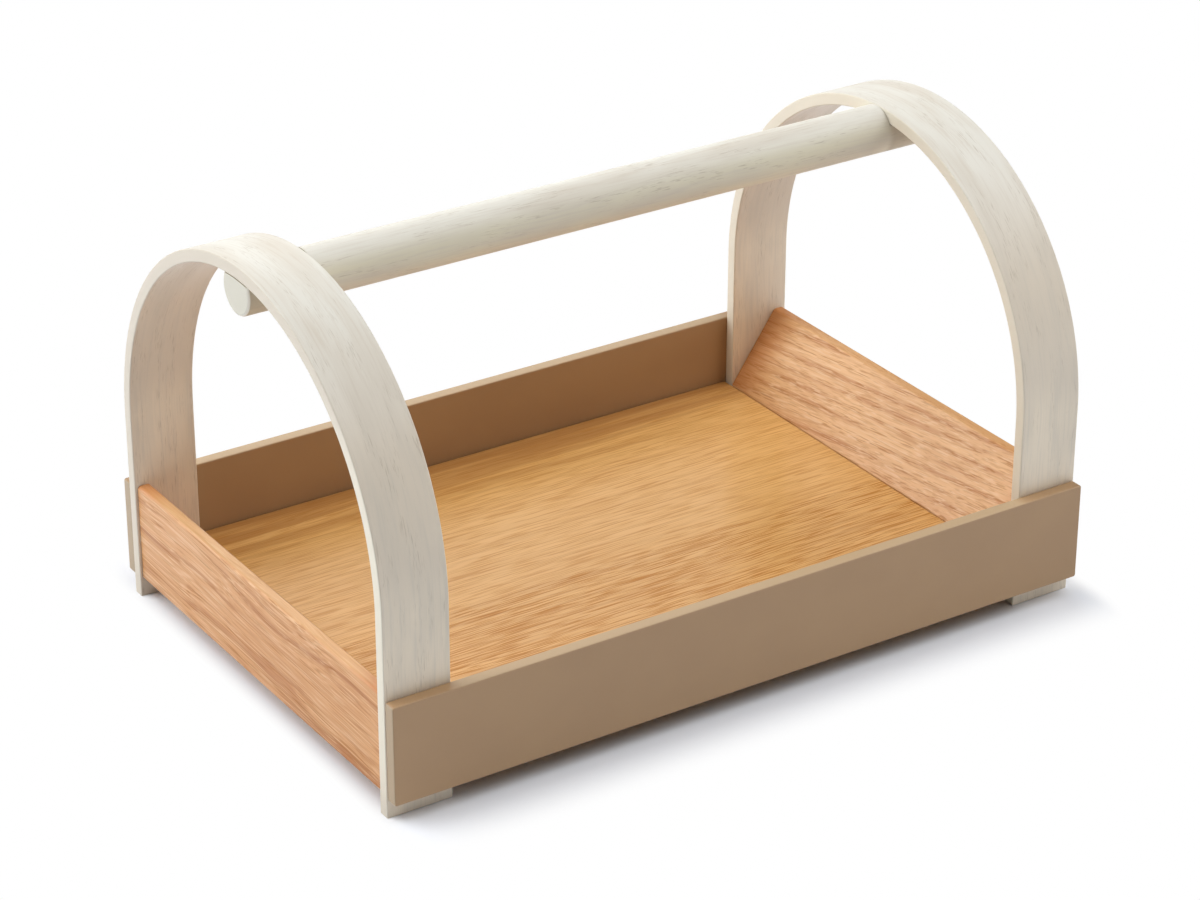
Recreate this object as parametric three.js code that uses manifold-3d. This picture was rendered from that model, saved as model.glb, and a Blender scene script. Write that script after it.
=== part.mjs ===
// Wooden carrying tray: two bentwood arches, a round handle let in under their crowns,
// and a shallow oak tray between their legs with lacquered boards along its sides.
// Millimetres, +Z up. X runs along the handle and Y from the front to the back. The origin lies
// under the middle of the tray, on the surface that the feet stand on.

import * as THREE from "three";
import { mergeVertices } from "three/addons/utils/BufferGeometryUtils.js";
import Module from "manifold-3d";

// Arches: bent bands, a semicircle on two straight legs
const trayLength = 400;
const archSpan = 254.4;
const archHeight = 229;
const bandWidth = 35;
const bandThickness = 6.4;
const bandEase = 0.7;

// Handle dowel
const handleDiameter = 25;
const handleEase = 1.6;

// Boards: their lower edges hang clear of the surface, so that only the legs stand on it
const footHeight = 10;
const sideBoardThickness = 6.8;
const sideBoardHeight = 52;
const sideBoardSetback = 0.4;
const sideBoardCornerRadius = 1.2;
const sideBoardEase = 0.6;
const endBoardHeight = 52.9;
const endBoardTopLand = 6.3;
const endBoardSetback = 1.4;
const endBoardRounding = 1.8;

// Bottom panel and its tongues
const panelTopHeight = 23.6;
const panelThickness = 9;
const tongueThickness = 4;
const sideTongueReach = 3;
const endTongueReach = 6;

// Dowel pins
const cornerPinDiameter = 6;
const cornerPinDepth = 22;
const cornerPinCover = 2.8;
const lowerPinRise = 9;
const upperPinDrop = 17;
const handlePinDiameter = 6;
const handlePinDepth = 12;
const handlePinCover = 2.4;
const pinChamfer = 0.8;

// Clearances: a glue line between flat faces, and a fit round tongues, pins and saddles
const glueLine = 0.1;
const fitGap = 0.3;

// Facets of the round forms
const archArcSegments = 24;
const roundingSegments = 3;
const handleSegments = 48;
const pinSegments = 16;

// Places that follow from the sizes above
const archOuterRadius = archSpan / 2;
const archInnerRadius = archOuterRadius - bandThickness;
const springHeight = archHeight - archOuterRadius;
const archCentreX = trayLength / 2 - bandWidth / 2;
const legInnerX = trayLength / 2 - bandWidth;
const handleCentreHeight = archHeight - handleDiameter / 2;
const saddleHeight = springHeight + archInnerRadius;
const sideBoardInnerY = archSpan / 2 + glueLine;
const endBoardOuterX = trayLength / 2 - endBoardSetback;
const endBoardTopHeight = footHeight + endBoardHeight;
const endBoardLength = archSpan - 2 * (bandThickness + glueLine);
const tongueMiddleHeight = panelTopHeight - panelThickness / 2;
const grooveThickness = tongueThickness + 2 * fitGap;

const wasm = await Module();
wasm.setup();

const axisX = new THREE.Vector3(1, 0, 0);
const axisY = new THREE.Vector3(0, 1, 0);
const axisZ = new THREE.Vector3(0, 0, 1);

// Turns an extrusion drawn in the Y and Z plane so that its depth runs along X.
const depthAlongX = new THREE.Matrix4().makeBasis(axisY, axisZ, axisX);

// Turns an extrusion drawn in the X and Z plane so that its depth runs along Y, towards the front.
const depthAlongY = new THREE.Matrix4().makeBasis(axisX, axisZ, axisY.clone().negate());

// Finishes
const paleWash = { color: 0xe9e3d5, roughness: 0.62, metalness: 0 };
const oiledOak = { color: 0xcf9f69, roughness: 0.55, metalness: 0 };
const taupeLacquer = { color: 0x9c8269, roughness: 0.5, metalness: 0 };
const bareBeech = { color: 0xd9b88f, roughness: 0.7, metalness: 0 };

// A closed solid for cutting and joining, from a three.js geometry.
function solidOf(geometry) {
  const bare = geometry.index ? geometry.toNonIndexed() : geometry.clone();
  bare.deleteAttribute("normal");
  bare.deleteAttribute("uv");
  const merged = mergeVertices(bare);
  return new wasm.Manifold(new wasm.Mesh({
    numProp: 3,
    vertProperties: new Float32Array(merged.attributes.position.array),
    triVerts: new Uint32Array(merged.index.array),
  }));
}

function geometryOf(solid) {
  const faces = solid.getMesh();
  const geometry = new THREE.BufferGeometry();
  geometry.setAttribute("position", new THREE.BufferAttribute(faces.vertProperties, 3));
  geometry.setIndex(new THREE.BufferAttribute(faces.triVerts, 1));
  const flat = geometry.toNonIndexed();
  flat.computeVertexNormals();
  return flat;
}

function piece(name, solid, finish) {
  const mesh = new THREE.Mesh(geometryOf(solid), new THREE.MeshStandardMaterial(finish));
  mesh.name = name;
  return mesh;
}

function box(sizeX, sizeY, sizeZ, centreX, centreY, centreZ) {
  return solidOf(new THREE.BoxGeometry(sizeX, sizeY, sizeZ).translate(centreX, centreY, centreZ));
}

// A plain round bar along Y or Z, used to bore pin holes.
function bar(diameter, length, axis, centre) {
  const geometry = new THREE.CylinderGeometry(diameter / 2, diameter / 2, length, pinSegments);
  if (axis === axisZ) {
    geometry.rotateX(Math.PI / 2);
  }
  return solidOf(geometry.translate(centre.x, centre.y, centre.z));
}

// A turned bar with chamfered ends, standing along its own Y axis and centred on it.
function turnedBar(diameter, length, chamfer, segments) {
  const radius = diameter / 2;
  const half = length / 2;
  const profile = [
    new THREE.Vector2(0, -half),
    new THREE.Vector2(radius - chamfer, -half),
    new THREE.Vector2(radius, -half + chamfer),
    new THREE.Vector2(radius, half - chamfer),
    new THREE.Vector2(radius - chamfer, half),
    new THREE.Vector2(0, half),
  ];
  return new THREE.LatheGeometry(profile, segments);
}

// The end board's sloped inner face at a height, as its distance from the tray's middle.
function slopeXAt(height) {
  const topX = endBoardOuterX - endBoardTopLand;
  const climb = (height - panelTopHeight) / (endBoardTopHeight - panelTopHeight);
  return legInnerX + Math.max(climb, 0) * (topX - legInnerX);
}

// Left and right, or front and back.
const bothSides = [-1, 1];

// The heights of the two pins at a corner.
const pinHeights = {
  lower: footHeight + lowerPinRise,
  upper: endBoardTopHeight - upperPinDrop,
};

// Corner pins run along Y, midway between the end board's two faces at their height.
const cornerPinInnerY = endBoardLength / 2 - cornerPinDepth;
const cornerPinOuterY = sideBoardInnerY + sideBoardThickness - cornerPinCover;
const cornerPinLength = cornerPinOuterY - cornerPinInnerY;

function cornerPinCentre(sideX, sideY, height) {
  const middleX = (endBoardOuterX + slopeXAt(height)) / 2;
  const middleY = (cornerPinInnerY + cornerPinOuterY) / 2;
  return new THREE.Vector3(sideX * middleX, sideY * middleY, height);
}

// The handle's pins stand upright through the saddles, midway along the bands' width.
const handlePinTop = archHeight - handlePinCover;
const handlePinBottom = saddleHeight - handlePinDepth;
const handlePinLength = handlePinTop - handlePinBottom;

function handlePinCentre(sideX) {
  return new THREE.Vector3(sideX * archCentreX, 0, (handlePinTop + handlePinBottom) / 2);
}

function cornerPinHoles(sidesX, sidesY) {
  const holes = [];
  for (const sideX of sidesX) {
    for (const sideY of sidesY) {
      for (const height of Object.values(pinHeights)) {
        const centre = cornerPinCentre(sideX, sideY, height);
        holes.push(bar(cornerPinDiameter + 2 * fitGap, cornerPinLength + 2 * fitGap, axisY, centre));
      }
    }
  }
  return holes;
}

function handlePinHole(sideX) {
  const centre = handlePinCentre(sideX);
  return bar(handlePinDiameter + 2 * fitGap, handlePinLength + 2 * fitGap, axisZ, centre);
}

function cut(solid, cutters) {
  return cutters.reduce((left, cutter) => left.subtract(cutter), solid);
}

// Each band is drawn from the front and swept across its width, with eased edges.
function arch(name, sideX) {
  const outline = new THREE.Shape();
  outline.moveTo(archOuterRadius, 0);
  outline.lineTo(archOuterRadius, springHeight);
  outline.absarc(0, springHeight, archOuterRadius, 0, Math.PI, false);
  outline.lineTo(-archOuterRadius, 0);
  outline.lineTo(-archInnerRadius, 0);
  outline.lineTo(-archInnerRadius, springHeight);
  outline.absarc(0, springHeight, archInnerRadius, Math.PI, 0, true);
  outline.lineTo(archInnerRadius, 0);
  const band = new THREE.ExtrudeGeometry(outline, {
    depth: bandWidth - 2 * bandEase,
    curveSegments: archArcSegments,
    bevelEnabled: true,
    bevelThickness: bandEase,
    bevelSize: bandEase,
    bevelOffset: -bandEase,
    bevelSegments: 1,
  });
  band.translate(0, 0, -bandWidth / 2 + bandEase);
  band.applyMatrix4(depthAlongX);
  band.translate(sideX * archCentreX, 0, 0);
  const holes = [...cornerPinHoles([sideX], bothSides), handlePinHole(sideX)];
  return piece(name, cut(solidOf(band), holes), paleWash);
}

// The space that a band takes out of the handle's end: all above the band's inner curve.
function saddleCutter(sideX) {
  const reach = archOuterRadius + handleDiameter;
  const seatRadius = archInnerRadius - fitGap;
  const outline = new THREE.Shape();
  outline.absarc(0, springHeight, reach, 0, Math.PI, false);
  outline.absarc(0, springHeight, seatRadius, Math.PI, 0, true);
  const width = bandWidth + 2 * fitGap;
  const cutter = new THREE.ExtrudeGeometry(outline, {
    depth: width,
    curveSegments: archArcSegments,
    bevelEnabled: false,
  });
  cutter.translate(0, 0, -width / 2);
  cutter.applyMatrix4(depthAlongX);
  cutter.translate(sideX * archCentreX, 0, 0);
  return solidOf(cutter);
}

function handle() {
  const dowel = turnedBar(handleDiameter, trayLength, handleEase, handleSegments);
  dowel.rotateZ(Math.PI / 2);
  dowel.translate(0, 0, handleCentreHeight);
  const cutters = [];
  for (const sideX of bothSides) {
    cutters.push(saddleCutter(sideX), handlePinHole(sideX));
  }
  return piece("handle_dowel", cut(solidOf(dowel), cutters), paleWash);
}

// The side boards lie on the outsides of the legs and hold the panel in a stopped groove.
function sideBoard(name, sideY) {
  const halfLength = trayLength / 2 - sideBoardSetback;
  const top = footHeight + sideBoardHeight;
  const radius = sideBoardCornerRadius;
  const outline = new THREE.Shape();
  outline.absarc(halfLength - radius, top - radius, radius, 0, Math.PI / 2, false);
  outline.absarc(-halfLength + radius, top - radius, radius, Math.PI / 2, Math.PI, false);
  outline.absarc(-halfLength + radius, footHeight + radius, radius, Math.PI, 1.5 * Math.PI, false);
  outline.absarc(halfLength - radius, footHeight + radius, radius, 1.5 * Math.PI, 2 * Math.PI, false);
  const board = new THREE.ExtrudeGeometry(outline, {
    depth: sideBoardThickness - 2 * sideBoardEase,
    curveSegments: roundingSegments,
    bevelEnabled: true,
    bevelThickness: sideBoardEase,
    bevelSize: sideBoardEase,
    bevelOffset: -sideBoardEase,
    bevelSegments: 1,
  });
  board.translate(0, 0, -sideBoardThickness / 2 + sideBoardEase);
  board.applyMatrix4(depthAlongY);
  board.translate(0, sideY * (sideBoardInnerY + sideBoardThickness / 2), 0);
  const grooveDepth = sideTongueReach + fitGap;
  const groove = box(
    2 * legInnerX, 2 * grooveDepth, grooveThickness,
    0, sideY * sideBoardInnerY, tongueMiddleHeight,
  );
  const holes = cornerPinHoles(bothSides, [sideY]);
  return piece(name, cut(solidOf(board), [groove, ...holes]), taupeLacquer);
}

// Adds a rounded corner to an outline, between the directions to the corner before and after.
function roundedCorner(outline, before, corner, after, radius) {
  const towardsBefore = before.clone().sub(corner).normalize();
  const towardsAfter = after.clone().sub(corner).normalize();
  const halfAngle = towardsBefore.angleTo(towardsAfter) / 2;
  const setOff = radius / Math.tan(halfAngle);
  const start = corner.clone().addScaledVector(towardsBefore, setOff);
  const end = corner.clone().addScaledVector(towardsAfter, setOff);
  const bisector = towardsBefore.add(towardsAfter).normalize();
  const centre = corner.clone().addScaledVector(bisector, radius / Math.sin(halfAngle));
  const startAngle = Math.atan2(start.y - centre.y, start.x - centre.x);
  const endAngle = Math.atan2(end.y - centre.y, end.x - centre.x);
  const turn = Math.atan2(Math.sin(endAngle - startAngle), Math.cos(endAngle - startAngle));
  outline.absarc(centre.x, centre.y, radius, startAngle, startAngle + turn, turn < 0);
}

// The end boards fill the arches between the legs: upright outside, sloped from the top to the panel.
function endBoard(name, sideX) {
  const outerBottom = new THREE.Vector2(sideX * endBoardOuterX, footHeight);
  const outerTop = new THREE.Vector2(sideX * endBoardOuterX, endBoardTopHeight);
  const innerTop = new THREE.Vector2(sideX * slopeXAt(endBoardTopHeight), endBoardTopHeight);
  const slopeFoot = new THREE.Vector2(sideX * legInnerX, panelTopHeight);
  const innerBottom = new THREE.Vector2(sideX * legInnerX, footHeight);
  const outline = new THREE.Shape();
  outline.moveTo(innerBottom.x, innerBottom.y);
  roundedCorner(outline, innerBottom, outerBottom, outerTop, endBoardRounding);
  roundedCorner(outline, outerBottom, outerTop, innerTop, endBoardRounding);
  roundedCorner(outline, outerTop, innerTop, slopeFoot, endBoardRounding);
  outline.lineTo(slopeFoot.x, slopeFoot.y);
  const board = new THREE.ExtrudeGeometry(outline, {
    depth: endBoardLength,
    curveSegments: roundingSegments,
    bevelEnabled: false,
  });
  board.translate(0, 0, -endBoardLength / 2);
  board.applyMatrix4(depthAlongY);
  const grooveDepth = endTongueReach + fitGap;
  const groove = box(
    2 * grooveDepth, endBoardLength, grooveThickness,
    sideX * legInnerX, 0, tongueMiddleHeight,
  );
  const holes = cornerPinHoles([sideX], bothSides);
  return piece(name, cut(solidOf(board), [groove, ...holes]), oiledOak);
}

// The panel fills the well between the boards, and its tongues reach into all four.
function bottomPanel() {
  const length = 2 * (legInnerX - glueLine);
  const width = 2 * (sideBoardInnerY - glueLine);
  const body = box(length, width, panelThickness, 0, 0, tongueMiddleHeight);
  const sideTongues = box(
    length - 2 * fitGap, 2 * (sideBoardInnerY + sideTongueReach), tongueThickness,
    0, 0, tongueMiddleHeight,
  );
  const endTongues = box(
    2 * (legInnerX + endTongueReach), endBoardLength - 2 * fitGap, tongueThickness,
    0, 0, tongueMiddleHeight,
  );
  return piece("bottom_panel", body.add(sideTongues).add(endTongues), oiledOak);
}

function cornerPin(name, centre) {
  const pin = turnedBar(cornerPinDiameter, cornerPinLength, pinChamfer, pinSegments);
  const mesh = piece(name, solidOf(pin), bareBeech);
  mesh.position.copy(centre);
  return mesh;
}

function handlePin(name, centre) {
  const pin = turnedBar(handlePinDiameter, handlePinLength, pinChamfer, pinSegments);
  pin.rotateX(Math.PI / 2);
  const mesh = piece(name, solidOf(pin), bareBeech);
  mesh.position.copy(centre);
  return mesh;
}

const tray = new THREE.Group();
tray.name = "wooden_tray";
tray.add(handle(), bottomPanel());

const frontAndBack = [["front", -1], ["back", 1]];
for (const [sideName, sideY] of frontAndBack) {
  tray.add(sideBoard(`${sideName}_side_board`, sideY));
}

for (const [endName, sideX] of [["left", -1], ["right", 1]]) {
  tray.add(arch(`${endName}_arch`, sideX));
  tray.add(endBoard(`${endName}_end_board`, sideX));
  tray.add(handlePin(`${endName}_handle_pin`, handlePinCentre(sideX)));
  for (const [sideName, sideY] of frontAndBack) {
    for (const [level, height] of Object.entries(pinHeights)) {
      const centre = cornerPinCentre(sideX, sideY, height);
      tray.add(cornerPin(`${sideName}_${endName}_${level}_pin`, centre));
    }
  }
}

export default tray;
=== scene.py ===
# %% [markdown]
# # A wooden carrying tray
# Two bentwood arches stand on the table. A round dowel joins their crowns and is the handle.
# Between the legs hangs a shallow tray: a veneered oak floor, a solid oak wedge at each end and a
# lacquered board along each side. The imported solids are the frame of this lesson. They fix every
# size and place, and each visible piece is modelled again here with rounder edges, smoother curves
# and a finish of its own.

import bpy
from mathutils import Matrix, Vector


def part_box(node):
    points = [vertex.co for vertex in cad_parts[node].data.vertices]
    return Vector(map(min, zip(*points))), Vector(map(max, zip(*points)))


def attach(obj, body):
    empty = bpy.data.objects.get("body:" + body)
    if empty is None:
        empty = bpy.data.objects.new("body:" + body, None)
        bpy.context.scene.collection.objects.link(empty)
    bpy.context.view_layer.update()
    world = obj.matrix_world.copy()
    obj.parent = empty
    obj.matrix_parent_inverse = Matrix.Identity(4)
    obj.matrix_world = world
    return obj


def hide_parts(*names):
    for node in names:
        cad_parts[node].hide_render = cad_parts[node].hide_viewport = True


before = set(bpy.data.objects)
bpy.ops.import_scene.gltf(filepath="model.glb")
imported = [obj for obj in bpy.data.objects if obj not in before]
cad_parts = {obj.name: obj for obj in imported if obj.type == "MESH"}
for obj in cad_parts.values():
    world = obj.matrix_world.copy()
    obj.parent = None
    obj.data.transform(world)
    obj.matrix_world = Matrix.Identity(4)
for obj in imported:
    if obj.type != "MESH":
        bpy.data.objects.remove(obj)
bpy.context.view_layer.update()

# %% [markdown]
# ## Working by hand, in code
# Blender's operators act on whatever is selected, and the loaded solids still are. So each piece
# starts with everything deselected, and a new block is added at its size and place.
# `transform_apply` then moves that place into the mesh, so that every finished object sits at the
# origin as the solids do. In edit mode, edges and faces are picked by a rule about where they lie,
# which stands for clicking on them.

# %% Blocks and picking
import math

import bmesh
import bpy
from mathutils import Euler, Matrix, Vector

MM = 0.001
X, Y, Z = 0, 1, 2
STRAIGHT = 0.99
SAME_PLACE = 0.01 * MM


def make_active(piece):
    bpy.ops.object.select_all(action="DESELECT")
    piece.select_set(True)
    bpy.context.view_layer.objects.active = piece


def settle(name):
    """Names the new object and moves its place, turn and scale into its mesh."""
    piece = bpy.context.object
    piece.name = piece.data.name = name
    bpy.ops.object.transform_apply(location=True, rotation=True, scale=True)
    return piece


def block(name, low, high):
    """A rectangular block between two corners."""
    low, high = Vector(low), Vector(high)
    bpy.ops.object.select_all(action="DESELECT")
    bpy.ops.mesh.primitive_cube_add(size=1, location=(low + high) / 2, scale=high - low)
    return settle(name)


def rod(name, radius, length, centre, turn, sides):
    """A round rod. With no turn it stands upright."""
    bpy.ops.object.select_all(action="DESELECT")
    bpy.ops.mesh.primitive_cylinder_add(
        vertices=sides, radius=radius, depth=length, location=centre, rotation=turn)
    return settle(name)


def pick(kind, rule):
    """In edit mode, selects only the edges or faces that the rule accepts."""
    mesh = bpy.context.object.data
    bpy.ops.mesh.select_mode(type=kind)
    bpy.ops.mesh.select_all(action="DESELECT")
    shape = bmesh.from_edit_mesh(mesh)
    for part in shape.edges if kind == "EDGE" else shape.faces:
        if rule(part):
            part.select_set(True)
    bmesh.update_edit_mesh(mesh)


def middle(edge):
    return (edge.verts[0].co + edge.verts[1].co) / 2


def runs_along(edge, axis):
    way = edge.verts[1].co - edge.verts[0].co
    return abs(way[axis]) > STRAIGHT * way.length


def near(value, place):
    return abs(value - place) < SAME_PLACE


# %% [markdown]
# ## Cutting and finishing
# Pin holes, grooves and saddles are cut with the Boolean modifier, as a drill or a router would cut
# them. The tongues of the floor are joined on in the same way. Each tool is a solid of its own and
# goes once it has done its work. Last, every piece gets its edges eased, as with sandpaper: a Bevel
# modifier rounds each edge sharper than a limit. Smooth shading by angle keeps the real corners, and
# Weighted Normal keeps the broad faces flat beside their rounded edges.

# %% Cutting and finishing
FIT_GAP = 0.3 * MM
DRILL_SIDES = 32


def apply_modifier(piece, kind, **settings):
    make_active(piece)
    modifier = piece.modifiers.new(kind.lower(), kind)
    for name, value in settings.items():
        setattr(modifier, name, value)
    bpy.ops.object.modifier_apply(modifier=modifier.name)


def carve(piece, tool, operation="DIFFERENCE"):
    apply_modifier(piece, "BOOLEAN", object=tool, operation=operation, solver="EXACT")
    bpy.data.objects.remove(tool)


def bore(piece, pins):
    """Drills a hole for each dowel pin, a little wider and deeper than the pin in the frame."""
    for pin in pins:
        low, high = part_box(pin)
        size = high - low
        upright = size[Z] > size[Y]
        turn = (0, 0, 0) if upright else (math.pi / 2, 0, 0)
        radius = size[X] / 2 + FIT_GAP
        length = max(size) + 2 * FIT_GAP
        carve(piece, rod("drill", radius, length, (low + high) / 2, turn, DRILL_SIDES))


def ease(piece, width, limit=50, segments=3):
    """Rounds every edge that is sharper than the limit, in degrees."""
    apply_modifier(piece, "BEVEL", width=width, segments=segments, limit_method="ANGLE",
                   angle_limit=math.radians(limit), use_clamp_overlap=True)


def shade(piece, angle=32):
    make_active(piece)
    bpy.ops.object.shade_smooth_by_angle(angle=math.radians(angle))
    apply_modifier(piece, "WEIGHTED_NORMAL", mode="FACE_AREA", weight=50, keep_sharp=True)


def copy_of(piece, name, move=(0, 0, 0), half_turn=False):
    """A copy with a mesh of its own, moved along or turned half round about the tray's middle."""
    make_active(piece)
    bpy.ops.object.duplicate(linked=False)
    if half_turn:
        bpy.ops.transform.rotate(value=math.pi, orient_axis="Z", center_override=(0, 0, 0))
    bpy.ops.transform.translate(value=move)
    return settle(name)


def report(piece):
    corners = [vertex.co for vertex in piece.data.vertices]
    spans = [max(c[k] for c in corners) - min(c[k] for c in corners) for k in (X, Y, Z)]
    size = " x ".join(f"{span / MM:.1f}" for span in spans)
    print(f"{piece.name}: {size} mm, {len(piece.data.polygons)} faces")


# %% [markdown]
# ## Nodes and colours
# Every finish is made of shader nodes, so one small function adds a node, sets it up, links it and
# hands back one of its outputs. Colours are written as the sRGB hex values that a colour picker
# shows, and one function turns them into the linear light values that the renderer works with.
# A finish is painted in coats: each coat has a colour and an amount, and covers what lies under it
# as far as its amount goes.

# %% Nodes and colours
MIX_FACTOR, MIX_A, MIX_B, MIX_COLOUR = 0, 6, 7, 2
SOFT = {"interpolation_type": "SMOOTHSTEP"}


def colour(hex_code):
    channels = [int(hex_code[k:k + 2], 16) / 255 for k in (1, 3, 5)]
    return (*(c / 12.92 if c <= 0.04045 else ((c + 0.055) / 1.055) ** 2.4 for c in channels), 1.0)


def node(tree, kind, inputs=(), output=0, **settings):
    """Adds a node and gives one of its outputs. An input that is a socket is linked, any other is set."""
    new = tree.nodes.new("ShaderNode" + kind)
    for name, value in settings.items():
        setattr(new, name, value)
    for name, value in inputs.items() if isinstance(inputs, dict) else enumerate(inputs):
        if isinstance(value, bpy.types.NodeSocket):
            tree.links.new(value, new.inputs[name])
        else:
            new.inputs[name].default_value = value
    return new.outputs[output] if len(new.outputs) else None


def new_material(name):
    material = bpy.data.materials.new(name)
    material.use_nodes = True
    material.node_tree.nodes.clear()
    return material, material.node_tree


def paint(tree, ground, *coats):
    """Lays coats over a ground colour, each a pair of its amount and its colour."""
    for amount, coat in coats:
        ground = node(tree, "Mix", {MIX_FACTOR: amount, MIX_A: ground, MIX_B: coat}, MIX_COLOUR,
                      data_type="RGBA")
    return ground


def finish_material(tree, inputs):
    surface = node(tree, "BsdfPrincipled", inputs)
    node(tree, "OutputMaterial", {"Surface": surface})


# %% [markdown]
# ## What wood looks like
# All the woods here share a few habits, so these functions are shared too. A grain position is
# measured in millimetres: first along the fibres, then across them twice. Fibres are noise drawn out
# along the grain: short and fine for pores, long and broader for growth lines. Each kind has a length
# and a width in millimetres, and the part of the noise that makes its streaks. No tree grows quite
# straight, so the position is pushed sideways a little by slow noise before the fibres are drawn.

# %% What wood looks like
WOOD_IOR = 1.5
DENT_STRENGTH = 0.6
NOISE_MIDDLE = 0.5


def grain_position(tree, source, tilt=0.0, start=(0.0, 0.0, 0.0)):
    """Millimetres along and across the grain. The source is X or Y, or BAND for a bent band's own."""
    if source == "BAND":
        position = node(tree, "Attribute", output="Vector", attribute_name="grain")
    else:
        position = node(tree, "TexCoord", output="Object")
    turn = (math.radians(tilt), 0, -math.pi / 2 if source == "Y" else 0)
    return node(tree, "Mapping", {"Vector": position, "Location": start, "Rotation": turn,
                                  "Scale": (1 / MM, 1 / MM, 1 / MM)})


def drawn_noise(tree, grain, length, width, detail=1.0):
    """Noise from 0 to 1 that changes every `length` mm along the grain and `width` mm across it."""
    drawn_out = node(tree, "VectorMath", (grain, (length, width, width)), operation="DIVIDE")
    return node(tree, "TexNoise", {"Vector": drawn_out, "Scale": 1.0, "Detail": detail}, "Fac")


def fibres(tree, grain, length, width, part, detail=1.0, strength=1.0):
    """Streaks with soft sides, from 0 up to their strength, where the noise lies in its upper part."""
    noise = drawn_noise(tree, grain, length, width, detail)
    return node(tree, "MapRange", (noise, *part, 0.0, strength), **SOFT)


def bent_grain(tree, grain, length, width, reach):
    """Pushes the grain sideways by up to half of `reach` mm, so that its lines sway."""
    noise = drawn_noise(tree, grain, length, width)
    sway = node(tree, "Math", (noise, NOISE_MIDDLE), operation="SUBTRACT")
    push = node(tree, "VectorMath", {0: (0, reach, reach), "Scale": sway}, operation="SCALE")
    return node(tree, "VectorMath", (grain, push), operation="ADD")


# %% [markdown]
# ## The whitewashed finish
# The arches and the handle are pale hardwood under a thin white wash. The wash leaves the wood nearly
# white, but the open pores still drink it in and show as short grey-brown dashes along the grain, and
# the tone drifts softly from place to place. A wiped wash dries matt, with only a broad, weak shine.
# Real pores are about a quarter of a millimetre wide, too fine for this picture, so they are drawn
# about twice as wide.
#
# The tone follows height as painted light and shade: cooler and whiter on the crowns and on top of the
# dowel as a painted highlight, darker and pinker round the bend and on the dowel's underside as painted
# shade, and lighter down the legs as painted light. Faces across the grain are plain, and the normal
# tells them from the broad faces. A band's narrow edges are even, and past the bend of the first band
# they turn darker. The dowel's end grain stays a shade greyer inside a pale rounded rim, which is a
# painted highlight, and the dowel is painted darker close under the bands, as shade.

# %% The whitewashed finish
WASH = "#e5decc"
# The next four colours are painted light and shade by height: a highlight on the crowns, shade on the bend
# and the dowel's underside, light down the legs.
CROWN_PAINTED_LIGHT = "#e5e2d8"
BEND_PAINTED_SHADE = "#e0d3c0"
LEG_PAINTED_LIGHT = "#eddfc9"
DOWEL_PAINTED_SHADE = "#e4dcc2"
WASH_DARKER = "#d3c9b9"
WASH_PORE_AND_SHADE = "#9a8668"
WASH_END = "#d0ccbd"
# A painted highlight on the rounded rim of the dowel's end.
RIM_PAINTED_HIGHLIGHT = "#f6f1e4"
WASH_ROUGHNESS = 0.5
THIN_ROUGHNESS = 0.12
WASH_DENT = 0.06 * MM

# Heights where the painted light and shade change.
CROWN_RISE = (165 * MM, 225 * MM)
DOWEL_RISE = (218.5 * MM, 229.5 * MM)
LEG_RISE = (100 * MM, 128 * MM)
# Where along the strip the first band's narrow edges turn darker.
EDGE_DARKENING = (165.0, 215.0, 0.0, 0.85)
# How far the painted shade reaches on the dowel close under the bands, and how dark it gets.
UNDER_BAND = (163.0, 168.0, 0.0, 0.5)
BROAD_FACE = (0.3, 0.8, 1.0, 0.0)
RIM_START = (0.2, 0.5)
RIM_END = (0.8, 0.98, 0.8, 0.0)

WASH_SWAY = {"length": 120.0, "width": 20.0, "reach": 5.0}
WASH_DRIFT = {"length": 60.0, "width": 14.0, "part": (0.35, 0.70), "detail": 2.0, "strength": 0.5}
WASH_LINES = {"length": 25.0, "width": 1.2, "part": (0.45, 0.72), "detail": 2.0, "strength": 0.3}
WASH_DASHES = {"length": 7.0, "width": 0.5, "part": (0.56, 0.70)}
WASH_PATCHES = {"length": 25.0, "width": 5.0, "part": (0.45, 0.66)}
PORE_TINT = 0.32


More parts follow.
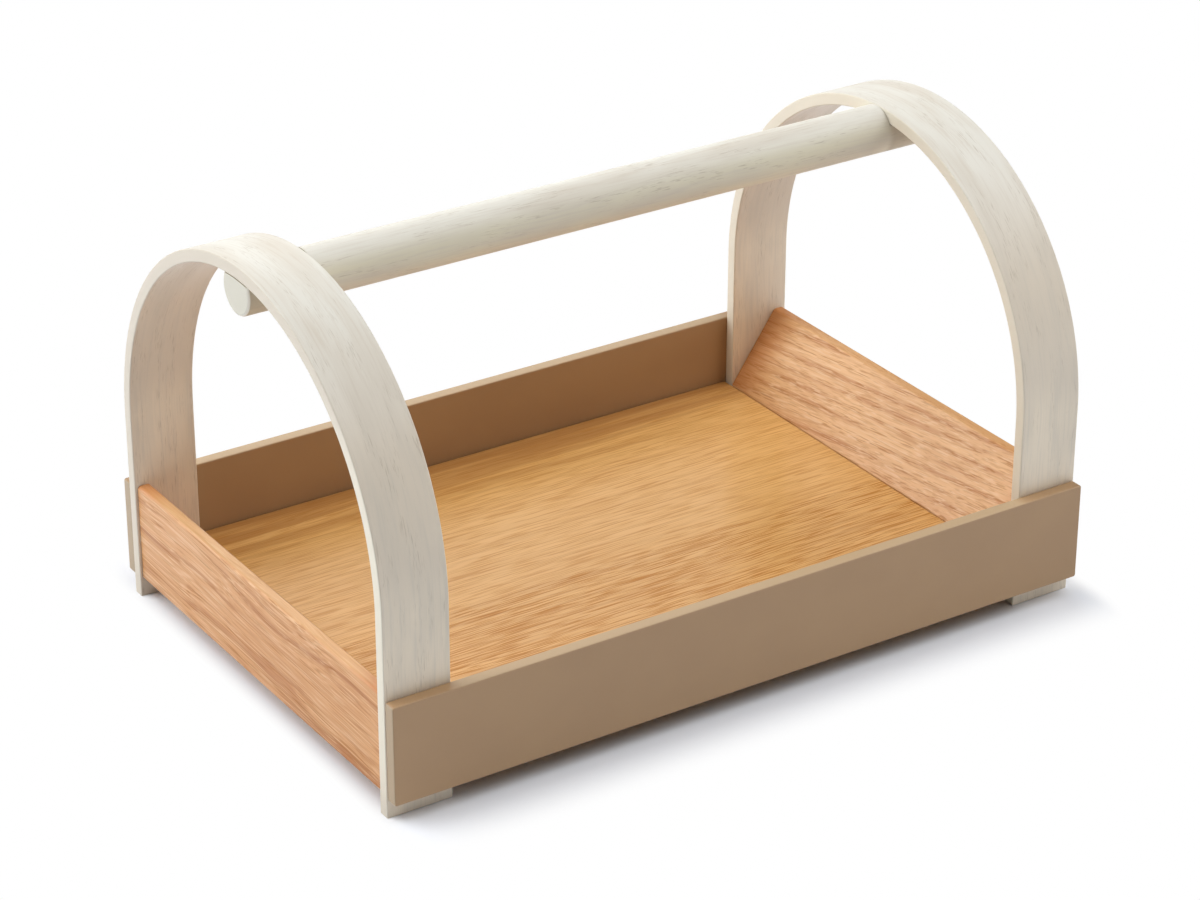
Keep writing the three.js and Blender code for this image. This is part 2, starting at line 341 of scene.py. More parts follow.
def whitewashed(name, source, painted_lower_shade, rise):
    material, tree = new_material(name)
    grain = bent_grain(tree, grain_position(tree, source), **WASH_SWAY)
    normal_x = node(tree, "SeparateXYZ", (node(tree, "NewGeometry", output="Normal"),), "X")
    sideways = node(tree, "Math", (normal_x,), operation="ABSOLUTE")
    broad = node(tree, "MapRange", (sideways, *BROAD_FACE), **SOFT)
    drift = fibres(tree, grain, **WASH_DRIFT)
    bare = node(tree, "Math", (drift, fibres(tree, grain, **WASH_LINES)), operation="ADD")
    dashes = node(tree, "Math", (fibres(tree, grain, **WASH_DASHES), fibres(tree, grain, **WASH_PATCHES)),
                  operation="MULTIPLY")
    pores = node(tree, "Math", (dashes, broad), operation="MULTIPLY")
    tinted = node(tree, "Math", (pores, PORE_TINT), operation="MULTIPLY")
    # Painted light and shade by height: a cool highlight on top, lighter legs, a darker bend and a darker
    # dowel underside.
    height = node(tree, "SeparateXYZ", (node(tree, "TexCoord", output="Object"),), "Z")
    painted_light_on_top = node(tree, "MapRange", (height, *rise), **SOFT)
    painted_light_on_leg = node(tree, "MapRange", (height, *LEG_RISE, 1.0, 0.0), **SOFT)
    tone = paint(tree, colour(painted_lower_shade), (painted_light_on_top, colour(CROWN_PAINTED_LIGHT)), (painted_light_on_leg, colour(LEG_PAINTED_LIGHT)),
                 (bare, colour(WASH_DARKER)), (tinted, colour(WASH_PORE_AND_SHADE)))
    along = node(tree, "SeparateXYZ", (grain,), "X")
    if source == "BAND":
        # Past the bend, the first band's narrow edges turn darker.
        darker_edge = node(tree, "MapRange", (along, *EDGE_DARKENING), **SOFT)
        tone = paint(tree, colour(WASH), (darker_edge, colour(WASH_DARKER)), (broad, tone))
    else:
        # Painted shade on the dowel close under the bands, in the pore colour.
        outwards = node(tree, "Math", (along,), operation="ABSOLUTE")
        shade_under_band = node(tree, "MapRange", (outwards, *UNDER_BAND), **SOFT)
        # Painted highlight: a pale rim round the dowel's end face.
        rim_start = node(tree, "MapRange", (sideways, *RIM_START), **SOFT)
        rim_end = node(tree, "MapRange", (sideways, *RIM_END), **SOFT)
        rim_highlight = node(tree, "Math", (rim_start, rim_end), operation="MULTIPLY")
        tone = paint(tree, tone, (shade_under_band, colour(WASH_PORE_AND_SHADE)))
        tone = paint(tree, colour(WASH_END), (broad, tone), (rim_highlight, colour(RIM_PAINTED_HIGHLIGHT)))
    rough = node(tree, "Math", (bare, THIN_ROUGHNESS, WASH_ROUGHNESS), operation="MULTIPLY_ADD")
    dents = node(tree, "Bump", {"Strength": DENT_STRENGTH, "Distance": WASH_DENT, "Height": pores},
                 invert=True)
    finish_material(tree, {"Base Color": tone, "Roughness": rough, "IOR": WOOD_IOR, "Normal": dents})
    return material


whitewashed_band = whitewashed("whitewashed_ash_veneer", "BAND", BEND_PAINTED_SHADE, CROWN_RISE)
whitewashed_rod = whitewashed("whitewashed_ash_dowel", "X", DOWEL_PAINTED_SHADE, DOWEL_RISE)
print("made", whitewashed_band.name, "and", whitewashed_rod.name)

# %% [markdown]
# ## Solid oak
# The wedges at the ends are solid oak with the grain lying along them, under a thin clear oil. They
# are sawn at a slant through the growth rings, which show as soft brown bands. Within the bands lie
# rows of open pores, and here and there a paler fleck. Pores and flecks are drawn two or three times
# as wide as they are, or the picture would blur them away. The inner corners, against the legs and the
# floor, are painted amber and darker as shade. The two wedges come from different planks, so each has
# its own tone, sway, tilt and start and its own place in the tree. Each narrow top is painted in a tone
# of its own as light and shade: lighter on the first wedge, darker on the second.

# %% Solid oak
# The top tone of each plank is painted light and shade on its narrow top: lighter on the first, darker on
# the second.
FIRST_PLANK = {"pale": "#d9a26d", "brown": "#ac682d", "top": "#dfb27f", "sway": 9.0, "tilt": -1.0,
               "start": (0.0, 0.0, 0.0), "heart_and_back_shade": (155.0, 18.0), "spacing": 4.5}
SECOND_PLANK = {"pale": "#e5b680", "brown": "#bb7c40", "top": "#c08a52", "sway": 4.0, "tilt": 7.0,
                "start": (310.0, 0.0, 0.0), "heart_and_back_shade": (-94.0, -73.0), "spacing": 6.5}
OAK_PORE = "#a26008"
OAK_FLECK = "#e9c397"
# Painted shade in the corners against the legs and the floor.
OAK_CORNER_SHADE = "#c07436"
OAK_ROUGHNESS = 0.36
PORE_ROUGHNESS = 0.2
OAK_DENT = 0.06 * MM

# How far the painted corner shade reaches from the legs and above the floor.
BY_LEG = (90 * MM, 119 * MM, 0.0, 0.65)
BY_FLOOR = (24 * MM, 30 * MM, 0.2, 0.0)
FACING_UP = (0.2, 0.5)
LEVEL_TOP = (0.75, 0.97, 0.0, 0.6)
EARLY_WOOD = (0.15, 0.45)

OAK_SWAY = {"length": 110.0, "width": 26.0}
OAK_DRIFT = {"length": 150.0, "width": 7.0, "part": (0.38, 0.64)}
OAK_LINES = {"length": 75.0, "width": 1.5, "part": (0.42, 0.66), "detail": 2.0}
OAK_DASHES = {"length": 38.0, "width": 0.7, "part": (0.50, 0.64)}
OAK_FLECKS = {"length": 34.0, "width": 0.8, "part": (0.52, 0.66), "strength": 0.56}
LATE_CROWD = 0.5
DRIFT_BROWN, BAND_BROWN, STREAK_BROWN, OAK_PORE_TINT = 0.22, 0.42, 0.26, 0.54


def growth_rings(tree, grain, heart_and_back_shade, spacing):
    """1 in each year's porous early wood and 0 between, in rings round the tree's heart."""
    outwards = node(tree, "VectorMath", (grain, (0, *heart_and_back_shade)), operation="SUBTRACT")
    level = node(tree, "VectorMath", (outwards, (0, 1, 1)), operation="MULTIPLY")
    radius = node(tree, "VectorMath", (level,), "Value", operation="LENGTH")
    swing = node(tree, "Math", (radius, spacing / 2), operation="PINGPONG")
    return node(tree, "MapRange", (swing, *(share * spacing for share in EARLY_WOOD)), **SOFT)


def painted_corner_shade(tree, upward):
    """How much painted shade lies against the legs and the floor, on faces that look upwards."""
    spot = node(tree, "TexCoord", output="Object")
    outwards = node(tree, "Math", (node(tree, "SeparateXYZ", (spot,), "Y"),), operation="ABSOLUTE")
    by_leg = node(tree, "MapRange", (outwards, *BY_LEG), **SOFT)
    by_floor = node(tree, "MapRange", (node(tree, "SeparateXYZ", (spot,), "Z"), *BY_FLOOR), **SOFT)
    by_corner = node(tree, "Math", (by_leg, by_floor), operation="MAXIMUM")
    facing_up = node(tree, "MapRange", (upward, *FACING_UP), **SOFT)
    return node(tree, "Math", (by_corner, facing_up), operation="MULTIPLY")


def solid_oak(name, plank):
    material, tree = new_material(name)
    position = grain_position(tree, "Y", plank["tilt"], plank["start"])
    grain = bent_grain(tree, position, **OAK_SWAY, reach=plank["sway"])
    drift = fibres(tree, grain, **OAK_DRIFT)
    rings = growth_rings(tree, grain, plank["heart_and_back_shade"], plank["spacing"])
    bands = node(tree, "Math", (rings, drift), operation="MULTIPLY")
    crowd = node(tree, "Math", (rings, 1 - LATE_CROWD, LATE_CROWD), operation="MULTIPLY_ADD")
    pores = node(tree, "Math", (fibres(tree, grain, **OAK_DASHES), crowd), operation="MULTIPLY")
    streaks = node(tree, "Math", (fibres(tree, grain, **OAK_LINES), crowd), operation="MULTIPLY")
    brown = node(tree, "Math", (bands, BAND_BROWN), operation="MULTIPLY")
    for browning, amount in ((drift, DRIFT_BROWN), (streaks, STREAK_BROWN)):
        brown = node(tree, "Math", (browning, amount, brown), operation="MULTIPLY_ADD")
    tinted = node(tree, "Math", (pores, OAK_PORE_TINT), operation="MULTIPLY")
    upward = node(tree, "SeparateXYZ", (node(tree, "NewGeometry", output="Normal"),), "Z")
    # Painted light and shade: the narrow top faces take the plank's top tone.
    painted_light_on_top = node(tree, "MapRange", (upward, *LEVEL_TOP), **SOFT)
    # Painted shade: amber in the corners against the legs and the floor.
    tone = paint(tree, colour(plank["pale"]), (brown, colour(plank["brown"])),
                 (fibres(tree, grain, **OAK_FLECKS), colour(OAK_FLECK)), (tinted, colour(OAK_PORE)),
                 (painted_light_on_top, colour(plank["top"])), (painted_corner_shade(tree, upward), colour(OAK_CORNER_SHADE)))
    rough = node(tree, "Math", (pores, PORE_ROUGHNESS, OAK_ROUGHNESS), operation="MULTIPLY_ADD")
    dents = node(tree, "Bump", {"Strength": DENT_STRENGTH, "Distance": OAK_DENT, "Height": pores},
                 invert=True)
    finish_material(tree, {"Base Color": tone, "Roughness": rough, "IOR": WOOD_IOR, "Normal": dents})
    return material


oak_planks = {"left": solid_oak("oiled_oak_first_plank", FIRST_PLANK),
              "right": solid_oak("oiled_oak_second_plank", SECOND_PLANK)}
print("made", *(plank.name for plank in oak_planks.values()))

# %% [markdown]
# ## Oak veneer
# The floor is a board faced with oak veneer under the same oil. A veneer is sliced thin and laid in
# leaves side by side, with its straight grain along the tray. The front leaf is turned over like a
# page, so that it shows its looser, coarser side: its pores stand out more and it looks a shade
# darker. The leaf's number is the whole number of leaf widths across the tray, and it also shifts the
# grain, so that no two leaves match. Towards the back board the floor is painted browner as shade,
# with a streaky edge. As on the wedges, the pores are drawn wider than they are.

# %% Oak veneer
VENEER_PALE = "#e1af6b"
VENEER_BROWN = "#ab6f28"
VENEER_PORE = "#b06c00"
# Painted shade towards the back board.
VENEER_BACK_SHADE = "#ad7439"
VENEER_ROUGHNESS = 0.32
VENEER_DENT = 0.05 * MM

LEAF_WIDTH = 150.0
LEAF_JOINT = -14.0
LEAF_SHIFT = (417.0, 9.0, 53.0)
FINE_SIDE, COARSE_EXTRA, COARSE_SHADE = 0.5, 0.36, 0.07
# Where the painted shade towards the back board begins, and how strong it gets.
BACK_SHADE_EDGE = (96.0, 141.0, 0.0, 0.75)
BACK_SHADE_STREAK = 24.0

VENEER_SWAY = {"length": 170.0, "width": 40.0, "reach": 4.0}
VENEER_BANDS = {"length": 180.0, "width": 7.0, "part": (0.35, 0.65)}
VENEER_LINES = {"length": 90.0, "width": 1.0, "part": (0.42, 0.64), "detail": 2.0, "strength": 0.3}
VENEER_DASHES = {"length": 24.0, "width": 0.6, "part": (0.48, 0.60)}
VENEER_BAND_BROWN, VENEER_PORE_TINT = 0.14, 0.95


def oak_veneer():
    material, tree = new_material("sliced_oak_veneer")
    position = grain_position(tree, "X")
    across = node(tree, "SeparateXYZ", (position,), "Y")
    past_joint = node(tree, "Math", (across, LEAF_JOINT), operation="SUBTRACT")
    leaves = node(tree, "Math", (past_joint, LEAF_WIDTH), operation="DIVIDE")
    leaf = node(tree, "Math", (leaves,), operation="FLOOR")
    turned = node(tree, "Math", (leaf, 2.0), operation="FLOORED_MODULO")
    shift = node(tree, "VectorMath", {0: LEAF_SHIFT, "Scale": leaf}, operation="SCALE")
    own = node(tree, "VectorMath", (position, shift), operation="ADD")
    grain = bent_grain(tree, own, **VENEER_SWAY)
    bands = fibres(tree, grain, **VENEER_BANDS)
    lines = fibres(tree, grain, **VENEER_LINES)
    coarse = node(tree, "Math", (turned, COARSE_EXTRA, FINE_SIDE), operation="MULTIPLY_ADD")
    streaks = node(tree, "Math", (bands, VENEER_BAND_BROWN, lines), operation="MULTIPLY_ADD")
    darker = node(tree, "Math", (turned, COARSE_SHADE), operation="MULTIPLY")
    brown = node(tree, "Math", (streaks, coarse, darker), operation="MULTIPLY_ADD")
    pores = node(tree, "Math", (fibres(tree, grain, **VENEER_DASHES), coarse), operation="MULTIPLY")
    tinted = node(tree, "Math", (pores, VENEER_PORE_TINT), operation="MULTIPLY")
    # Painted shade: browner towards the back board, with a streaky edge.
    streaky = node(tree, "Math", (bands, BACK_SHADE_STREAK, across), operation="MULTIPLY_ADD")
    heart_and_back_shade = node(tree, "MapRange", (streaky, *BACK_SHADE_EDGE), **SOFT)
    tone = paint(tree, colour(VENEER_PALE), (brown, colour(VENEER_BROWN)),
                 (tinted, colour(VENEER_PORE)), (heart_and_back_shade, colour(VENEER_BACK_SHADE)))
    rough = node(tree, "Math", (pores, PORE_ROUGHNESS, VENEER_ROUGHNESS), operation="MULTIPLY_ADD")
    dents = node(tree, "Bump", {"Strength": DENT_STRENGTH, "Distance": VENEER_DENT, "Height": pores},
                 invert=True)
    finish_material(tree, {"Base Color": tone, "Roughness": rough, "IOR": WOOD_IOR, "Normal": dents})
    return material


veneered_oak = oak_veneer()
print("made", veneered_oak.name)

# %% [markdown]
# ## Taupe lacquer and bare beech
# The side boards are sprayed with a matt taupe lacquer. Sprayed lacquer hides the wood but never lies
# quite flat: it keeps a fine ripple, and its tone drifts a little where the coat is thicker. Between
# the arches the edges are paler, partly rubbed by hands and cloths and partly a painted highlight; in
# front of the legs they keep the plain tone, as painted shade. The sawn ends soak up the coat and dry
# greyer: the normal tells edges and ends from the broad faces. The dowel pins inside the joints
# are plain beech with its small brown flecks, and nobody sees them until the tray comes apart.

# %% Taupe lacquer and bare beech
LACQUER = "#b08e68"
LACQUER_THICK = "#ad8b66"
# Paler edges between the arches: rubbed wear and a painted highlight.
LACQUER_EDGE_WEAR_AND_HIGHLIGHT = "#bda17d"
LACQUER_END = "#b09b7f"
LACQUER_DRIFT = {"length": 45.0, "width": 30.0, "part": (0.3, 0.7), "detail": 2.0}
LACQUER_ROUGHNESS = (0.39, 0.45)
RIPPLE = 1.6
RIPPLE_PART = (0.3, 0.7)
RIPPLE_HEIGHT = 0.02 * MM
RIPPLE_STRENGTH = 0.25
# Past these places the edges keep the plain tone, as painted shade in front of the legs.
SHADE_BY_LEGS = (160 * MM, 168 * MM, 1.0, 0.0)
TURNED_AWAY = (0.55, 0.95)
BEECH = "#d9b88f"
BEECH_FLECK = "#b0875c"
BEECH_FLECKS = {"length": 2.5, "width": 0.5, "part": (0.55, 0.68), "strength": 0.6}
BEECH_ROUGHNESS = 0.7


def taupe_lacquer():
    material, tree = new_material("taupe_matt_lacquer")
    grain = grain_position(tree, "X")
    ripple = drawn_noise(tree, grain, RIPPLE, RIPPLE)
    normal = node(tree, "NewGeometry", output="Normal")
    spot = node(tree, "TexCoord", output="Object")
    normal_x, normal_y, place_x = (
        node(tree, "Math", (node(tree, "SeparateXYZ", (vector,), axis),), operation="ABSOLUTE")
        for vector, axis in ((normal, "X"), (normal, "Y"), (spot, "X")))
    # Wear and painted highlight on the edges between the arches, left out in front of the legs as painted
    # shade.
    edge = node(tree, "MapRange", (normal_y, *TURNED_AWAY, 1.0, 0.0), **SOFT)
    end = node(tree, "MapRange", (normal_x, *TURNED_AWAY), **SOFT)
    free = node(tree, "MapRange", (place_x, *SHADE_BY_LEGS), **SOFT)
    wear_and_highlight = node(tree, "Math", (edge, free), operation="MULTIPLY")
    tone = paint(tree, colour(LACQUER), (fibres(tree, grain, **LACQUER_DRIFT), colour(LACQUER_THICK)),
                 (wear_and_highlight, colour(LACQUER_EDGE_WEAR_AND_HIGHLIGHT)), (end, colour(LACQUER_END)))
    rough = node(tree, "MapRange", (ripple, *RIPPLE_PART, *LACQUER_ROUGHNESS), **SOFT)
    skin = node(tree, "Bump", {"Strength": RIPPLE_STRENGTH, "Distance": RIPPLE_HEIGHT, "Height": ripple})
    finish_material(tree, {"Base Color": tone, "Roughness": rough, "IOR": WOOD_IOR, "Normal": skin})
    return material


def bare_beech():
    material, tree = new_material("turned_bare_beech")
    flecks = fibres(tree, grain_position(tree, "Y"), **BEECH_FLECKS)
    tone = paint(tree, colour(BEECH), (flecks, colour(BEECH_FLECK)))
    finish_material(tree, {"Base Color": tone, "Roughness": BEECH_ROUGHNESS, "IOR": WOOD_IOR})
    return material


lacquer = taupe_lacquer()
beech = bare_beech()
print("made", lacquer.name, "and", beech.name)

# %% [markdown]
# ## Putting a piece in its place
# A finished piece takes its material, rides on the tray's one body and hides the solid that it stands
# for.

# %% Putting a piece in its place
def place(piece, node_name, material, slot):
    piece.data.materials.clear()
    piece.data.materials.append(material)
    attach(piece, "root")
    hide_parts(node_name)
    report(piece)


# %% [markdown]
# ## The bent arches
# A maker steams or laminates a straight strip and bends it over a former. The model goes the same
# way: it starts as the front leg, a straight block. Its top face is spun half round to draw the crown,
# and the last face is pulled down to the table as the back leg. The outlines of the strip follow from
# the arch's box and its thickness. The second arch is a copy of the first, moved along.

# %% The bent arches
BAND_THICKNESS = 6.4 * MM
BAND_EASE = 0.7 * MM
CROWN_STEPS = 96
WELD = 0.001 * MM
arch_low, arch_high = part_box("left_arch")
arch_radius = arch_high[Y]
spring_height = arch_high[Z] - arch_radius


def corner_pins(sides, ends):
    return [f"{side}_{end}_{level}_pin" for side in sides for end in ends for level in ("lower", "upper")]


def bend_band(name, low, high, inner_radius, outer_radius):
    """A band between two X places, bent over a half circle on straight legs."""
    band = block(name, (low, -outer_radius, 0), (high, -inner_radius, spring_height))
    bpy.ops.object.mode_set(mode="EDIT")
    pick("FACE", lambda face: face.normal[Z] > STRAIGHT)
    bpy.ops.mesh.spin(steps=CROWN_STEPS, angle=math.pi, center=(0, 0, spring_height), axis=(1, 0, 0))
    bpy.ops.mesh.extrude_region_move(TRANSFORM_OT_translate={"value": (0, 0, -spring_height)})
    bpy.ops.mesh.select_all(action="SELECT")
    bpy.ops.mesh.remove_doubles(threshold=WELD)
    bpy.ops.mesh.normals_make_consistent(inside=False)
    bpy.ops.object.mode_set(mode="OBJECT")
    return band


left_band = bend_band("left_bent_band", arch_low[X], arch_high[X], arch_radius - BAND_THICKNESS, arch_radius)
ease(left_band, BAND_EASE)
right_band = copy_of(left_band, "right_bent_band", move=(-arch_low[X] - arch_high[X], 0, 0))
for band, end in ((left_band, "left"), (right_band, "right")):
    bore(band, corner_pins(("front", "back"), (end,)) + [f"{end}_handle_pin"])
    shade(band)

# %% [markdown]
# The wood's fibres follow the bend, so a pattern in plain X, Y and Z would cut straight across the
# crown. Each point therefore keeps its own position along the strip, from the front foot over the
# crown to the back foot, in an attribute that the whitewashed finish reads. The second band comes from
# further down the strip, so that its pores differ.

# %% Grain along the bend
SECOND_BAND_START = -1300 * MM


def mark_grain(band, start):
    grain = band.data.attributes.new("grain", "FLOAT_VECTOR", "POINT")
    for vertex, mark in zip(band.data.vertices, grain.data):
        x, y, z = vertex.co
        rise = z - spring_height
        angle = math.atan2(max(rise, 0), -y)
        along = spring_height + angle * arch_radius + math.copysign(min(rise, 0), -y)
        depth = math.hypot(y, max(rise, 0))
        mark.vector = (start + along, x, depth)


mark_grain(left_band, 0.0)
mark_grain(right_band, SECOND_BAND_START)
place(left_band, "left_arch", whitewashed_band, "whitewashed_bentwood")
place(right_band, "right_arch", whitewashed_band, "whitewashed_bentwood")

# %% [markdown]
# ## The handle
# The handle is a round dowel whose top is flush with the crowns. At each end a saddle is cut out of
# it, so that it reaches through under the band. The cutter is a thick band bent in the same way as the
# arch, wide enough to take away everything above the arch's inner curve.

# %% The handle
HANDLE_EASE = 1.6 * MM
HANDLE_SIDES = 128
SEAT_GAP = 0.22 * MM
SADDLE_REACH = 20 * MM
handle_low, handle_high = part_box("handle_dowel")
handle_size = handle_high - handle_low
seat_radius = arch_radius - BAND_THICKNESS - SEAT_GAP

handle = rod("turned_handle", handle_size[Z] / 2, handle_size[X], (handle_low + handle_high) / 2,
             (0, math.pi / 2, 0), HANDLE_SIDES)
ease(handle, HANDLE_EASE, limit=60, segments=5)
for low, high in ((arch_low[X], arch_high[X]), (-arch_high[X], -arch_low[X])):
    carve(handle, bend_band("saddle", low - SEAT_GAP, high + SEAT_GAP, seat_radius,
                            arch_radius + SADDLE_REACH))
bore(handle, ["left_handle_pin", "right_handle_pin"])
shade(handle)
place(handle, "handle_dowel", whitewashed_rod, "whitewashed_dowel")

# %% [markdown]
# ## The side boards
# A side board is a straight board, lacquered all round. Its four corners are rounded a little, seen
# from the front, and then all its edges are eased. A groove on the inside holds the tongue of the
# floor, and blind holes hold the corner pins. The back board is the same board turned half round.

# %% The side boards
BOARD_THICKNESS = 6.8 * MM
BOARD_CORNER = 1.2 * MM
BOARD_EASE = 0.8 * MM
GROOVE_HEIGHT = 4.6 * MM
GROOVE_DEPTH = 3.3 * MM
panel_low, panel_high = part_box("bottom_panel")
board_low, board_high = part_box("front_side_board")
tongue_middle = (panel_low[Z] + panel_high[Z]) / 2
groove_low = tongue_middle - GROOVE_HEIGHT / 2
groove_high = tongue_middle + GROOVE_HEIGHT / 2

front_board = block("front_lacquered_board", board_low, board_high)
bpy.ops.object.mode_set(mode="EDIT")
pick("EDGE", lambda edge: runs_along(edge, Y))
bpy.ops.mesh.bevel(offset=BOARD_CORNER, segments=4, affect="EDGES")
bpy.ops.object.mode_set(mode="OBJECT")
carve(front_board, block("groove", (arch_high[X], board_high[Y] - GROOVE_DEPTH, groove_low),
                         (-arch_high[X], board_high[Y] + GROOVE_DEPTH, groove_high)))
ease(front_board, BOARD_EASE)
back_board = copy_of(front_board, "back_lacquered_board", half_turn=True)
for board, side in ((front_board, "front"), (back_board, "back")):
    bore(board, corner_pins((side,), ("left", "right")))
    shade(board)
    place(board, f"{side}_side_board", lacquer, "taupe_lacquer")

# %% [markdown]
# ## The oak wedges
# Each end board starts as a square block of oak. The slope is sawn off with the bisect tool: a cutting
# plane through the top land and the edge of the floor, with the waste cleared and the cut filled. The
# long edges are then rounded over, and a groove for the floor is cut. The second wedge is the first
# turned half round.

# %% The oak wedges
TOP_LAND = 6.3 * MM
WEDGE_ROUNDING = 1.8 * MM
WEDGE_EASE = 0.35 * MM
END_GROOVE_DEPTH = 6.3 * MM
wedge_low, wedge_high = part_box("left_end_board")
land_edge = Vector((wedge_low[X] + TOP_LAND, 0, wedge_high[Z]))
slope_foot = Vector((wedge_high[X], 0, panel_high[Z]))
slope = slope_foot - land_edge

left_wedge = block("left_oak_wedge", wedge_low, wedge_high)
bpy.ops.object.mode_set(mode="EDIT")
bpy.ops.mesh.select_all(action="SELECT")
bpy.ops.mesh.bisect(plane_co=land_edge, plane_no=(-slope[Z], 0, slope[X]), use_fill=True, clear_outer=True)
pick("EDGE", lambda edge: runs_along(edge, Y) and near(middle(edge)[X], wedge_low[X]))
bpy.ops.mesh.bevel(offset=WEDGE_ROUNDING, segments=6, affect="EDGES")
pick("EDGE", lambda edge: runs_along(edge, Y) and near(middle(edge)[X], land_edge[X]))
bpy.ops.mesh.bevel(offset=WEDGE_ROUNDING / 2, segments=5, affect="EDGES")
bpy.ops.object.mode_set(mode="OBJECT")
carve(left_wedge, block("groove", (wedge_high[X] - END_GROOVE_DEPTH, 2 * wedge_low[Y], groove_low),
                        (wedge_high[X] + END_GROOVE_DEPTH, 2 * wedge_high[Y], groove_high)))
ease(left_wedge, WEDGE_EASE, limit=60)
right_wedge = copy_of(left_wedge, "right_oak_wedge", half_turn=True)
for wedge, end in ((left_wedge, "left"), (right_wedge, "right")):
    bore(wedge, corner_pins(("front", "back"), (end,)))
    shade(wedge)
    place(wedge, f"{end}_end_board", oak_planks[end], "solid_oak")

# %% [markdown]
# ## The floor
# The floor is one panel. A tongue all round sits in the grooves of the boards, so the panel needs no
# nails. It starts as the board between the legs with its edges eased. The tongues are two thinner
# boards through its middle, one that reaches out to the sides and one to the ends, and a Boolean joins
# them to the panel. A fine seam stays open round the panel, as wood needs room to swell.

# %% The floor
SIDE_SEAM = 0.7 * MM
END_SEAM = 1.0 * MM
TONGUE_THICKNESS = 4 * MM
PANEL_EASE = 0.5 * MM
panel_x = -arch_high[X] - END_SEAM
panel_y = -board_low[Y] - BOARD_THICKNESS - SIDE_SEAM
tongue_low = tongue_middle - TONGUE_THICKNESS / 2
tongue_high = tongue_middle + TONGUE_THICKNESS / 2

floor_panel = block("oak_floor", (-panel_x, -panel_y, panel_low[Z]), (panel_x, panel_y, panel_high[Z]))
ease(floor_panel, PANEL_EASE)
for reach_x, reach_y in ((panel_x - FIT_GAP, panel_high[Y]), (panel_high[X], wedge_high[Y] - FIT_GAP)):
    tongue = block("tongue", (-reach_x, -reach_y, tongue_low), (reach_x, reach_y, tongue_high))
    carve(floor_panel, tongue, operation="UNION")
shade(floor_panel)
place(floor_panel, "bottom_panel", veneered_oak, "oak_veneer")

# %% [markdown]
# ## The dowel pins
# The ten pins already have their whole shape in the frame: short rods with chamfered ends. They stay
# as they are and only get the beech finish.

# %% The dowel pins
pin_nodes = [piece for name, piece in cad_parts.items() if name.endswith("_pin")]
for pin in pin_nodes:
    pin.data.materials.clear()
    pin.data.materials.append(beech)
print("pins in beech:", len(pin_nodes))

# %% [markdown]
# ## The studio
# The tray stands on white paper, which takes its shadow and throws light back up at the boards.
# Product pictures are cut out softly, so that only the shadow close to the object stays. Here the
# paper turns into plain white to the camera over the first centimetres away from the tray, and sooner
# past the ends than past the sides.

# %% The studio floor
FLOOR_SIZE = 8.0
PAPER = "#ffffff"
SHADED_PAPER = "#f4f8ff"
SHADOW_MIDDLE = Vector((4.5, 0, 0)) * MM
SHADOW_SPREAD = Vector((195.5, 134, 0)) * MM
SHADOW_HURRY = (2.6, 1.0, 0.0)
SHADOW_EDGE = (4.0 * MM, 36.0 * MM)

bpy.ops.object.select_all(action="DESELECT")
bpy.ops.mesh.primitive_plane_add(size=FLOOR_SIZE, location=(0, 0, 0))
studio_floor = settle("studio_floor")
paper, paper_tree = new_material("white_paper")
spot = node(paper_tree, "TexCoord", output="Object")
for operation, values in (("SUBTRACT", (SHADOW_MIDDLE,)), ("ABSOLUTE", ()), ("SUBTRACT", (SHADOW_SPREAD,)),
                          ("MAXIMUM", ((0, 0, 0),)), ("MULTIPLY", (SHADOW_HURRY,))):
    spot = node(paper_tree, "VectorMath", (spot, *values), operation=operation)
away = node(paper_tree, "VectorMath", (spot,), "Value", operation="LENGTH")
cleared = node(paper_tree, "MapRange", (away, *SHADOW_EDGE), **SOFT)
to_camera = node(paper_tree, "LightPath", output="Is Camera Ray")
white_share = node(paper_tree, "Math", (cleared, to_camera), operation="MULTIPLY")
paper_face = node(paper_tree, "BsdfDiffuse", {"Color": colour(SHADED_PAPER)})
plain_white = node(paper_tree, "Emission", {"Color": colour(PAPER), "Strength": 1.0})
paper_look = node(paper_tree, "MixShader", (white_share, paper_face, plain_white))
node(paper_tree, "OutputMaterial", {"Surface": paper_look})
studio_floor.data.materials.append(paper)
print("paper", FLOOR_SIZE, "m wide, plain white from", SHADOW_EDGE[1] / MM, "mm away")

# %% [markdown]
# The room around the tray is white too, so oiled and lacquered faces mirror it faintly. The world is
# therefore white to the camera, dim in reflections and gives no light otherwise: all the light on the
# tray comes from the lamps.

# %% The white room
ROOM_SHEEN = 0.12
scene = bpy.context.scene
world = bpy.data.worlds.new("white_room")
scene.world = world
world.use_nodes = True
sky = world.node_tree
sky.nodes.clear()
in_mirror = node(sky, "LightPath", output="Is Glossy Ray")
to_camera = node(sky, "LightPath", output="Is Camera Ray")
mirrored = node(sky, "Math", (in_mirror, ROOM_SHEEN), operation="MULTIPLY")
seen = node(sky, "Math", (to_camera, mirrored), operation="MAXIMUM")
background = node(sky, "Background", {"Color": colour(PAPER), "Strength": seen})
node(sky, "OutputWorld", {"Surface": background})
print("room mirrored at", ROOM_SHEEN, "of white")

# %% [markdown]
# Large lamps give the soft light: the bigger a lamp is against its distance, the softer its shadows.
# Two stand to the left and behind, where the bright band edges and the left wedge face. One stands
# high to the right, one hangs overhead, a small one behind on the right puts the sheen on the floor of
# the tray, and a low strip in front lifts the feet and the front board. Each is placed by its compass
# angle, counted from the front to the right, and by its height angle.

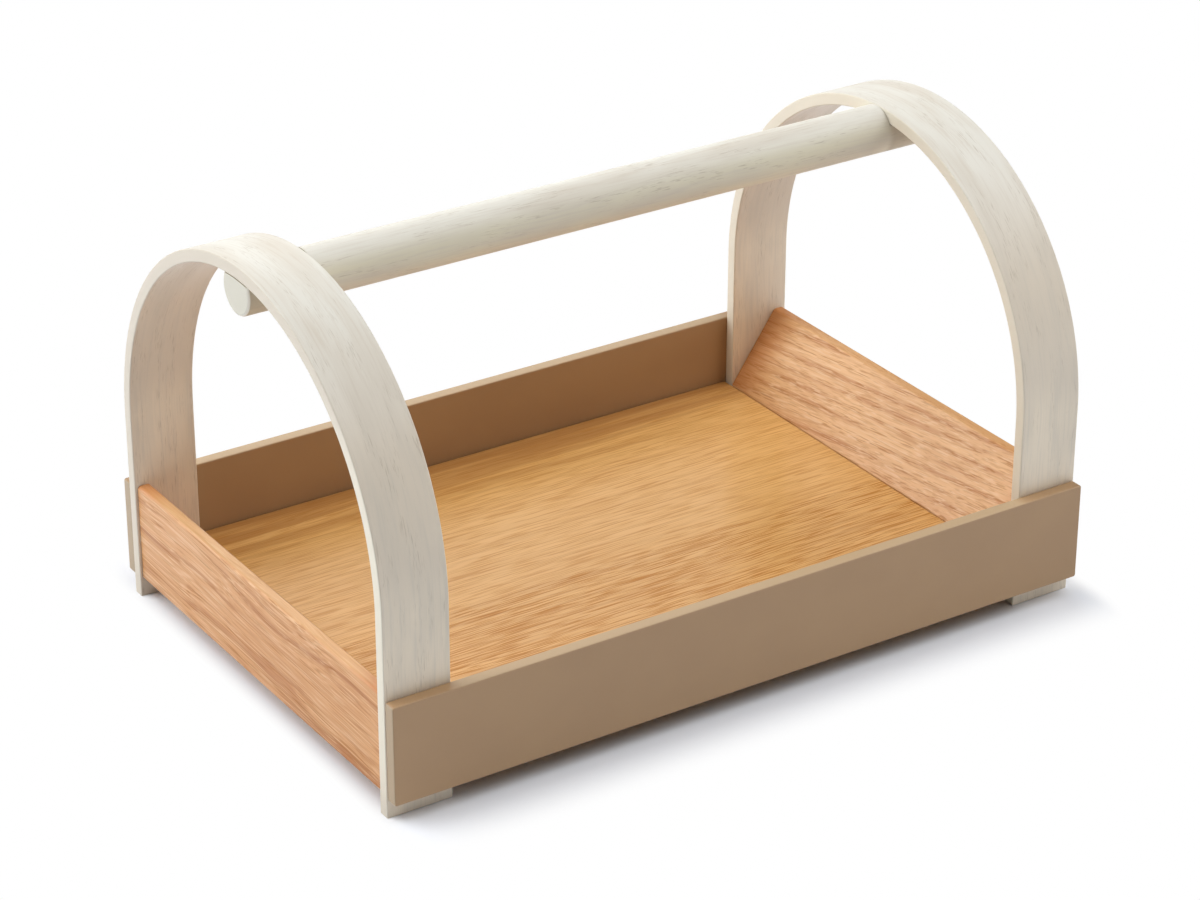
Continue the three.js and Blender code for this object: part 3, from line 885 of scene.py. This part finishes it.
# %% The studio lamps
LAMPS = {
    "left_low_softbox": {"round": 225, "height": 20, "size": (2.5, 2.5), "power": 46.5},
    "left_high_softbox": {"round": 245, "height": 48, "size": (2.5, 2.5), "power": 53.0},
    "right_high_softbox": {"round": 62, "height": 48, "size": (2.5, 2.5), "power": 57.0},
    "right_back_softbox": {"round": 162, "height": 25, "size": (2.0, 2.0), "power": 20.5},
    "top_softbox": {"round": 0, "height": 90, "size": (2.5, 2.5), "power": 18.5},
    "front_strip": {"round": 40, "height": 4, "size": (2.5, 0.5), "power": 9.0},
}
LAMP_AIM = Vector((0, 0, 0.08))
LAMP_DISTANCE = 3.0

for name, lamp in LAMPS.items():
    turn = Euler((math.radians(90 - lamp["height"]), 0, math.radians(lamp["round"])))
    lamp_place = LAMP_AIM + turn.to_matrix() @ Vector((0, 0, LAMP_DISTANCE))
    bpy.ops.object.light_add(type="AREA", location=lamp_place, rotation=turn)
    light = bpy.context.object
    light.name = name
    light.data.shape = "RECTANGLE"
    light.data.size, light.data.size_y = lamp["size"]
    light.data.energy = lamp["power"]
    light.visible_camera = False
    print(name, "at", tuple(round(v, 2) for v in lamp_place), "power", lamp["power"], "W")

# %% [markdown]
# ## The camera
# The camera looks down on the tray from the front left. A longish lens from nearly two metres keeps
# the far arch almost as large as the near one.

# %% The camera
CAMERA_AZIMUTH = -33.181
CAMERA_ELEVATION = 26.924
CAMERA_ROLL = 0.112
CAMERA_DISTANCE = 1.8608
CAMERA_TARGET = Vector((0.02053, 0.03327, 0.060))
FOCAL_PIXELS = 3636.3
IMAGE_WIDTH = 1200
SENSOR_WIDTH = 36.0

bpy.ops.object.camera_add()
camera = bpy.context.object
camera.name = "camera"
camera.data.sensor_width = SENSOR_WIDTH
camera.data.lens = FOCAL_PIXELS * SENSOR_WIDTH / IMAGE_WIDTH
aim = Euler((math.radians(90 - CAMERA_ELEVATION), 0, math.radians(CAMERA_AZIMUTH))).to_matrix()
rolled = aim @ Matrix.Rotation(math.radians(CAMERA_ROLL), 3, "Z")
camera.rotation_euler = rolled.to_euler()
camera.location = CAMERA_TARGET + aim @ Vector((0, 0, CAMERA_DISTANCE))
scene.camera = camera
scene.view_settings.view_transform = "Standard"
print("camera at", tuple(round(v, 3) for v in camera.location), "lens", round(camera.data.lens, 2), "mm")
